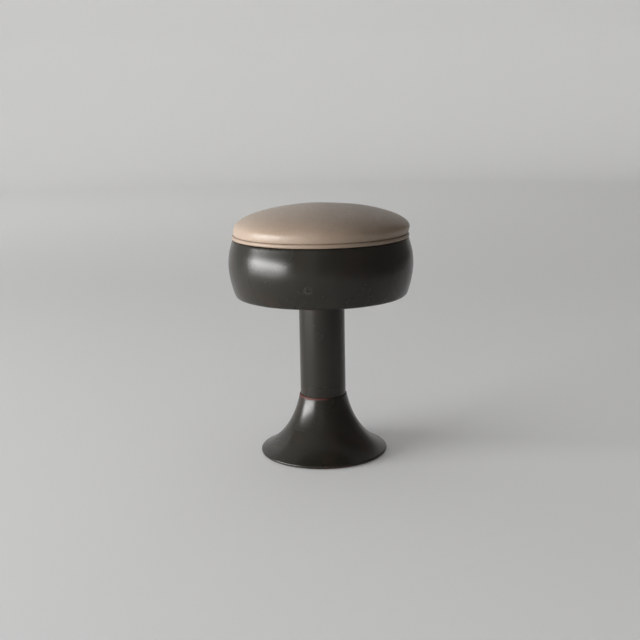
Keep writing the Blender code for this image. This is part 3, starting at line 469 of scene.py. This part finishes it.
def drumOutline():
    low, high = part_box("drum_shell")
    radius = high.x
    topLean = math.radians(drum["topLean"])
    lowLean = math.radians(drum["bottomLean"])
    topRadius = radius - drum["topInset"]
    topCentre = (topRadius - drum["topFillet"] * math.cos(topLean), high.z - drum["topFillet"])
    shoulder = arcRun(topCentre, drum["topFillet"], 90, drum["topLean"], drum["topSteps"])
    widest = (radius, high.z - drum["shoulderDrop"])
    upper = cubicRun(shoulder[-1], leanFrom(shoulder[-1], drum["topHandle"], drum["topLean"]),
                     leanFrom(widest, -drum["wideHandleUp"], 0), widest, drum["sideSteps"])
    rise = drum["bottomFillet"] * (1 - math.sin(lowLean))
    lowEnd = (radius - drum["bottomInset"], low.z + rise)
    lower = cubicRun(widest, leanFrom(widest, drum["wideHandleDown"], 0),
                     leanFrom(lowEnd, -drum["bottomHandle"], -drum["bottomLean"]), lowEnd, drum["sideSteps"])
    lowCentre = (lowEnd[0] - drum["bottomFillet"] * math.cos(lowLean), low.z + drum["bottomFillet"])
    roll = arcRun(lowCentre, drum["bottomFillet"], -drum["bottomLean"], -90, drum["bottomSteps"])
    inner = (topRadius - drum["topReturn"], high.z)
    lip = (lowCentre[0] - drum["bottomLip"], low.z)
    return [inner] + shoulder + upper[1:] + lower[1:] + roll[1:] + [lip]


skirt = turnShell("drum_skirt", drumOutline(), drum)
settle(skirt, "seat", "dark_enamel", drumPaint, "drum_shell")


# column: a plain drawn tube that runs down inside the flare's neck

column = {"corners": 128, "wall": 0.0020, "edge": 0.0004, "rings": 12}


def columnOutline():
    low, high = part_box("column_tube")
    step = (high.z - low.z) / column["rings"]
    return [(high.x, high.z - step * i) for i in range(column["rings"] + 1)]


tube = turnShell("column_post", columnOutline(), column)
settle(tube, "pedestal", "dark_enamel", columnPaint, "column_tube")


# flare: a spun trumpet whose foot is rolled under and turned in to a hem

flare = {
    "corners": 192, "wall": 0.0015, "edge": 0.0005, "rippleSize": 0.05, "rippleDepth": 0.0003,
    "neckGap": fitGap, "neckAngle": 11.0, "neckHandle": 0.0420, "footAngle": 24.4, "footHandle": 0.0519,
    "lipHeight": 0.0008, "shoulderFillet": 0.0030, "curl": 0.0026, "clearance": 0.0012,
    "hemWidth": 0.0147, "hemDrop": 0.0013, "trumpetSteps": 40, "shoulderSteps": 6, "curlSteps": 10,
}


def flareOutline():
    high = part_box("flared_base")[1]
    radius = high.x
    neck = (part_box("column_tube")[1].x + flare["neckGap"] + flare["wall"], high.z)
    curlCentre = (radius - flare["curl"], flare["clearance"] + flare["curl"])
    shoulderCentre = (radius - flare["shoulderFillet"], curlCentre[1] + flare["lipHeight"])
    footLean = 90 - flare["footAngle"]
    shoulder = arcRun(shoulderCentre, flare["shoulderFillet"], footLean, 0, flare["shoulderSteps"])
    trumpet = cubicRun(neck, leanFrom(neck, flare["neckHandle"], flare["neckAngle"]),
                       leanFrom(shoulder[0], -flare["footHandle"], footLean), shoulder[0],
                       flare["trumpetSteps"])
    curl = arcRun(curlCentre, flare["curl"], 0, -180, flare["curlSteps"])
    hemHeight = shoulderCentre[1] + flare["shoulderFillet"] - flare["hemDrop"]
    hemOuter = radius - 2 * flare["curl"]
    hem = [(hemOuter, hemHeight), (hemOuter - flare["hemWidth"], hemHeight)]
    return trumpet + shoulder[1:] + curl + hem


trumpet = turnShell("trumpet_foot", flareOutline(), flare)
settle(trumpet, "pedestal", "dark_enamel", flarePaint, "flared_base")


# foot ring: the rubber that the stool stands on

footRing = {"corners": 128, "width": 0.0160, "edge": 0.0006}


def footRingOutline():
    low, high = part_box("foot_ring")
    inner = high.x - footRing["width"]
    return [(high.x, high.z), (high.x, low.z), (inner, low.z), (inner, high.z)]


ring = turnSolid("rubber_ring", footRingOutline(), footRing["corners"])
roundEdges(ring, footRing["edge"])
settle(ring, "pedestal", "black_rubber", slotFinish["black_rubber"], "foot_ring")


# welt: a cord sewn into its own strip, closed by a lapped join at the back

welt = {
    "corners": 720, "sides": 20, "tall": 1.16, "lift": 0.0011, "uneven": 0.00012, "unevenScale": 70.0,
    "joinWidth": 0.0016, "joinDepth": 0.0005, "lapLength": 0.0140, "lapRise": 0.00025, "lapSlope": 3,
    "pucker": 0.00016, "puckerStep": 0.0052, "puckerLean": 0.8, "puckerPatches": 9.0,
}
weltLow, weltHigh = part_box("seat_welt")
weltSection = (weltHigh.z - weltLow.z) / 2
weltCentre = (weltHigh.x - weltSection, weltLow.z + weltSection + welt["lift"])
weltTop = weltCentre[1] + weltSection * welt["tall"]


def weltOutline():
    circle = arcRun((weltCentre[0], 0.0), weltSection, 0, -360, welt["sides"])[:-1]
    return [(radius, weltCentre[1] + height * welt["tall"]) for radius, height in circle]


def shapeWelt(piece):
    halfLap = welt["lapLength"] / 2
    for vertex in piece.data.vertices:
        turn = vertex.co.xy.normalized()
        core = Vector((turn.x * weltCentre[0], turn.y * weltCentre[0], weltCentre[1]))
        along = math.atan2(turn.x, turn.y) * weltCentre[0]  # from the back, round the edge
        grow = noise.noise(vertex.co * welt["unevenScale"]) * welt["uneven"]
        lap = max(0.0, 1 - abs(along - halfLap) / halfLap)
        grow += welt["lapRise"] * min(1.0, welt["lapSlope"] * lap)
        slant = (vertex.co.z - weltCentre[1]) * welt["puckerLean"]  # the strip is cut on the bias
        ridge = math.sin(2 * math.pi * (along + slant) / welt["puckerStep"])
        grow += welt["pucker"] * ridge * max(0.0, noise.noise(turn.to_3d() * welt["puckerPatches"]))
        grow -= welt["joinDepth"] * bell(along, welt["joinWidth"])
        vertex.co += (vertex.co - core).normalized() * (grow - welt["uneven"])


cord = turnSolid("welt_cord", weltOutline(), welt["corners"])
shapeWelt(cord)
bpy.ops.object.shade_smooth()
settle(cord, "seat", "taupe_leather", seatHide, "seat_welt")


# cushion: foam under one stretched cover, swollen by a cloth simulation

cushion = {
    "corners": 192, "span": 48, "topGrid": 0.0700, "bottomGrid": 0.0800, "gridMargin": 0.02,
    "bulgeHeight": 0.0194, "overhang": 0.0006, "slip": 0.0026, "crownSlip": 0.5,
    "sideHandle": 0.0203, "crownHandle": 0.0900, "domeSteps": 26, "crownSteps": 60,
    "shrinkSide": 0.0008, "shrinkCrown": 0.0020,  # before the cover swells
    "boardInset": 0.0020, "boardDrop": 0.0010, "hemTop": 0.0006, "wallGap": 0.0002, "wallRise": 0.0010,
    "tuck": ((0.0003, 0.0010), (0.0010, 0.0002)),  # out from the wall, down from the fold
    "foldReach": -0.0010, "foldRise": 0.0002, "foldHandle": (0.0020, 0.0002), "underHandle": 0.0060,
    "underSteps": 7, "sewnRise": 0.0010, "sideBand": 0.003,
    "frames": 20, "quality": 6, "mass": 0.3, "bending": 8.0, "tension": 40.0, "pressure": 4.0, "cap": 0.0022,
    "easing": 10, "easeFactor": 0.5, "fill": 0.85,
    "gather": 0.00030, "gatherReach": 0.0060, "gatherRound": 16, "gatherUp": 60,
    "wave": 0.0005, "waveScale": 18, "waveReach": 0.02,
    "pleatDepth": 0.00055, "pleatWidth": 0.0030, "pleatRise": 0.0100, "pleatLean": 2.2,
    "pleats": ((-21, 0.7), (-26, 1.0), (-30, 0.6), (-158, 0.5), (-151, 0.4), (34, 0.7), (62, 0.5),
               (118, 0.6), (171, 0.5)),  # degrees from the right, strength
}
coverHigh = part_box("seat_cover")[1]
boardLow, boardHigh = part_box("seat_board")
wallRadius = weltCentre[0] - weltSection - cushion["wallGap"]
foldTop = weltTop + cushion["foldRise"]
bulge = (coverHigh.x + cushion["overhang"], boardLow.z + cushion["bulgeHeight"])
tautSide = (bulge[0] - cushion["shrinkSide"], bulge[1])
tautCrown = coverHigh.z - cushion["shrinkCrown"]


def domeRun(steps):  # the taut cover's top, from its widest ring to the middle
    return cubicRun(tautSide, leanFrom(tautSide, -cushion["sideHandle"], 0),
                    (cushion["crownHandle"], tautCrown), (0.0, tautCrown), steps)


def cushionOutline():  # seat on the board, wall behind the welt, fold on the welt, side and dome
    boardWall = boardHigh.x + fitGap
    seatTop = boardHigh.z + fitGap
    hem = boardLow.z + cushion["hemTop"]
    fold = (weltCentre[0] + cushion["foldReach"], foldTop)
    foldOut, foldUp = cushion["foldHandle"]
    onBoard = [(cushion["bottomGrid"], seatTop), (boardWall - cushion["boardInset"], seatTop),
               (boardWall, seatTop - cushion["boardDrop"]), (boardWall, hem)]
    wall = [(wallRadius, hem), (wallRadius, weltCentre[1] + cushion["wallRise"])]
    tuck = [(wallRadius + out, foldTop - down) for out, down in cushion["tuck"]]
    under = cubicRun(fold, (fold[0] + foldOut, foldTop + foldUp),
                     leanFrom(tautSide, cushion["underHandle"], 0), tautSide, cushion["underSteps"])
    dome = [point for point in domeRun(cushion["domeSteps"])[1:] if point[0] > cushion["topGrid"]]
    return onBoard + wall + tuck + under + dome


def crownHeight(radius, run):
    for outer, inner in zip(run, run[1:]):
        if inner[0] <= radius <= outer[0]:
            share = (outer[0] - radius) / (outer[0] - inner[0])
            return outer[1] + share * (inner[1] - outer[1])
    return run[-1][1]


def raiseGrid(piece):  # the filled middle follows the dome
    run = domeRun(cushion["crownSteps"])
    for vertex in piece.data.vertices:
        if vertex.co.z > bulge[1] and vertex.co.xy.length < cushion["topGrid"] + cushion["gridMargin"]:
            vertex.co.z = crownHeight(vertex.co.xy.length, run)


def isSewn(place):  # held by the board, the hem or the seam
    onBoard = place.z < boardHigh.z + 2 * fitGap and place.xy.length < boardHigh.x + 2 * fitGap
    return onBoard or place.z < foldTop + cushion["sewnRise"]


def swell(piece):
    scene = bpy.context.scene
    pins = piece.vertex_groups.new(name="sewnEdge")
    pins.add([v.index for v in piece.data.vertices if isSewn(v.co)], 1.0, "REPLACE")
    cloth = piece.modifiers.new("Cloth", "CLOTH")
    cloth.settings.quality = cushion["quality"]
    cloth.settings.mass = cushion["mass"]
    cloth.settings.bending_stiffness = cushion["bending"]
    cloth.settings.tension_stiffness = cushion["tension"]
    cloth.settings.use_pressure = True
    cloth.settings.uniform_pressure_force = cushion["pressure"]
    cloth.settings.vertex_group_mass = pins.name
    cloth.settings.effector_weights.gravity = 0.0
    for step in range(1, cushion["frames"] + 1):
        scene.frame_set(step)
    before = [v.co.copy() for v in piece.data.vertices]
    bpy.ops.object.modifier_apply(modifier=cloth.name)
    scene.frame_set(1)
    moves = [0.0]
    for vertex, was in zip(piece.data.vertices, before):
        move = vertex.co - was
        moves.append(move.length)
        if move.length > cushion["cap"]:
            vertex.co = was + move * (cushion["cap"] / move.length)
    print("cushion swelled by up to", round(max(moves) * 1000, 1), "mm")


def fitToSeat(piece):  # draws the swollen form out to the seat's crown and widest ring
    free = [v for v in piece.data.vertices if not isSewn(v.co)]
    crown = max(v.co.z for v in free)
    reach = max(v.co.xy.length for v in free if abs(v.co.z - bulge[1]) < cushion["sideBand"])
    tall = (coverHigh.z - foldTop) / (crown - foldTop)
    wide = bulge[0] / reach - 1
    for vertex in free:
        rise = vertex.co.z - foldTop
        share = min(1.0, rise / (bulge[1] - foldTop))
        vertex.co.z = foldTop + rise * (1 + (tall - 1) * share)
        vertex.co.x *= 1 + wide * share
        vertex.co.y *= 1 + wide * share
        above = max(0.0, (vertex.co.z - bulge[1]) / (coverHigh.z - bulge[1]))
        slip = cushion["slip"] * share * (1 - cushion["crownSlip"] * above)
        vertex.co.x += slip  # the pad sits a little to one side


def pleatShare(place, above):  # short creases that run up from the seam, each leaning a little
    angle = math.atan2(place.y, place.x)
    share = 0.0
    for degrees, strength in cushion["pleats"]:
        lean = above * cushion["pleatLean"] * (1 if degrees % 2 else -1)
        off = math.remainder(angle - math.radians(degrees) - lean, 2 * math.pi) * bulge[0]
        if abs(off) < 3 * cushion["pleatWidth"]:
            share += strength * bell(off, cushion["pleatWidth"])
    return share * max(0.0, 1 - above / cushion["pleatRise"])


def gatherEdge(piece):  # small pulls where the cover is drawn in at the welt, and slow waves on top
    for vertex in piece.data.vertices:
        if isSewn(vertex.co):
            continue
        above = vertex.co.z - foldTop
        turn = vertex.co.xy.normalized()
        around = turn * cushion["gatherRound"]
        pull = noise.noise(Vector((around.x, around.y, above * cushion["gatherUp"])))
        depth = cushion["gather"] * pull * math.exp(-above / cushion["gatherReach"])
        depth -= cushion["pleatDepth"] * pleatShare(vertex.co, above)
        vertex.co.x += turn.x * depth
        vertex.co.y += turn.y * depth
        wave = cushion["wave"] * noise.noise(vertex.co * cushion["waveScale"])
        vertex.co.z += wave * min(1.0, above / cushion["waveReach"])


def makeCushion():
    outline = cushionOutline()
    piece = startRing("seat_cushion", *outline[0], cushion["corners"])
    bpy.ops.mesh.fill_grid(span=cushion["span"])
    selectRims()
    drawRings(outline)
    bpy.ops.mesh.fill_grid(span=cushion["span"])
    leaveEdit()
    raiseGrid(piece)
    swell(piece)
    free = piece.vertex_groups.new(name="freeTop")
    free.add([v.index for v in piece.data.vertices if not isSewn(v.co)], 1.0, "REPLACE")
    applyModifier(piece, "SMOOTH", factor=cushion["easeFactor"], iterations=cushion["easing"],
                  vertex_group=free.name)
    fitToSeat(piece)
    applyModifier(piece, "SUBSURF", levels=1, render_levels=1)
    gatherEdge(piece)
    bpy.ops.object.shade_smooth()
    return piece


pad = makeCushion()
settle(pad, "seat", "taupe_leather", seatHide, "seat_cover", "seat_foam")


# studio: a pale bowl, with painted shade out of sight on the far side, standing in for a room in shade, and
# painted shade on the floor by the lamps, against their pool of light

studio = {
    "floorRadius": 6.9, "sweep": 1.35, "sweepSteps": 12, "wallTop": 5.4, "topRadius": 6.5,
    "corners": 96, "innerRings": (0.5, 0.02),
    # the dark tone is painted shade: for the far side, as a room in shade, and for the floor by the lamps
    "pale": (0.82, 0.82, 0.815, 1), "paintedShade": (0.27, 0.26, 0.245, 1), "rough": 0.9, "lift": 0.12,
    "shadedSide": (1.0, -0.36, 0.0), "farFrom": 1.2, "farTo": 2.8,
    "lampSide": (-1.0, 0.0, 0.0), "lampFrom": 2.5, "lampTo": 3.9, "lampEnd": 1.6, "lampFade": 3.0,
}


def paleFloor():
    finish, tree, shader, place = newFinish("paleFloor", Roughness=studio["rough"], Specular_IOR_Level=0.0)
    # painted shade: the far side is darkened as a room in shade, so the object's shaded side stays dark, and
    # the floor by the lamps is darkened against their pool of light
    far = vectorSums(tree, "DOT_PRODUCT", place, studio["shadedSide"])
    near = vectorSums(tree, "DOT_PRODUCT", place, studio["lampSide"])
    along = put(tree, "SeparateXYZ", {0: place}).outputs["Y"]
    paintedLampShade = sums(tree, "MULTIPLY", ease(tree, near, studio["lampFrom"], studio["lampTo"]),
                  ease(tree, along, studio["lampFade"], studio["lampEnd"]))
    share = sums(tree, "MAXIMUM", ease(tree, far, studio["farFrom"], studio["farTo"]), paintedLampShade)
    tone = mixTone(tree, share, studio["pale"], studio["paintedShade"])
    rays = put(tree, "LightPath").outputs
    mirrored = sums(tree, "MAXIMUM", rays["Is Glossy Ray"], rays["Is Transmission Ray"])
    seen = sums(tree, "MAXIMUM", rays["Is Camera Ray"], mirrored)
    feed(tree, shader, Base_Color=tone, Emission_Color=tone,
         Emission_Strength=sums(tree, "MULTIPLY", seen, studio["lift"]))
    return finish


def makeBackdrop():
    outline = [(studio["topRadius"], studio["wallTop"])]
    sweepCentre = (studio["floorRadius"], studio["sweep"])
    outline += arcRun(sweepCentre, studio["sweep"], 0, -90, studio["sweepSteps"])
    outline += [(radius, 0.0) for radius in studio["innerRings"]]
    piece = startRing("backdrop", *outline[0], studio["corners"])
    drawRings(outline)
    bpy.ops.mesh.merge(type="CENTER")
    leaveEdit(inside=True)
    bpy.ops.object.shade_smooth()
    piece.data.materials.append(paleFloor())


# two long panes of light on the left, and a wash on the wall behind
lamps = {
    "upperPane": {"place": (-4.63, -1.93, 1.02), "target": (0, -0.95, 1.02),
                  "size": (4.7, 0.70), "power": 268},
    "lowerPane": {"place": (-4.63, -1.93, 0.34), "target": (0, -0.95, 0.34),
                  "size": (4.7, 0.64), "power": 145},
    "wallWash": {"place": (-3.6, 3.0, 3.9), "target": (-3.6, 8.1, 2.4),
                 "size": (5.1, 1.35), "power": 66},
}
sky = {
    "tone": (1.0, 1.0, 1.0, 1), "side": (-0.62, 0.35, 0.70), "from": -0.1, "to": 0.9,
    "low": 0.06, "high": 0.41,
}


def addLamp(name, place, target, size, power):
    bpy.ops.object.light_add(type="AREA", location=place)
    lamp = bpy.context.object
    lamp.name = name
    lamp.data.shape = "RECTANGLE"
    lamp.data.size = size[0]
    lamp.data.size_y = size[1]
    lamp.data.energy = power
    lamp.rotation_euler = (Vector(target) - Vector(place)).to_track_quat("-Z", "Y").to_euler()


def makeSky():
    world = bpy.data.worlds.new("softRoom")
    world.use_nodes = True
    tree = world.node_tree
    aim = put(tree, "TexCoord").outputs["Generated"]
    share = ease(tree, vectorSums(tree, "DOT_PRODUCT", aim, sky["side"]), sky["from"], sky["to"])
    shader = tree.nodes["Background"].inputs
    shader["Color"].default_value = sky["tone"]
    feed(tree, shader, Strength=mixValue(tree, share, sky["low"], sky["high"]))
    bpy.context.scene.world = world


makeBackdrop()
for lampName, lampRow in lamps.items():
    addLamp(lampName, **lampRow)
makeSky()
print("studio lit")


# camera at the photograph's place

cameraView = {"lens": 58.0, "sensor": 36.0, "place": (-0.0038, -1.972, 0.681), "pitch": 11.95, "roll": -1.05}


def addCamera():
    bpy.ops.object.camera_add(location=cameraView["place"])
    camera = bpy.context.object
    camera.data.lens = cameraView["lens"]
    camera.data.sensor_width = cameraView["sensor"]
    camera.rotation_mode = "QUATERNION"
    tilt = Quaternion((1, 0, 0), math.radians(90 - cameraView["pitch"]))
    camera.rotation_quaternion = tilt @ Quaternion((0, 0, 1), math.radians(cameraView["roll"]))
    bpy.context.scene.camera = camera


addCamera()
bpy.context.scene.view_settings.view_transform = "Standard"
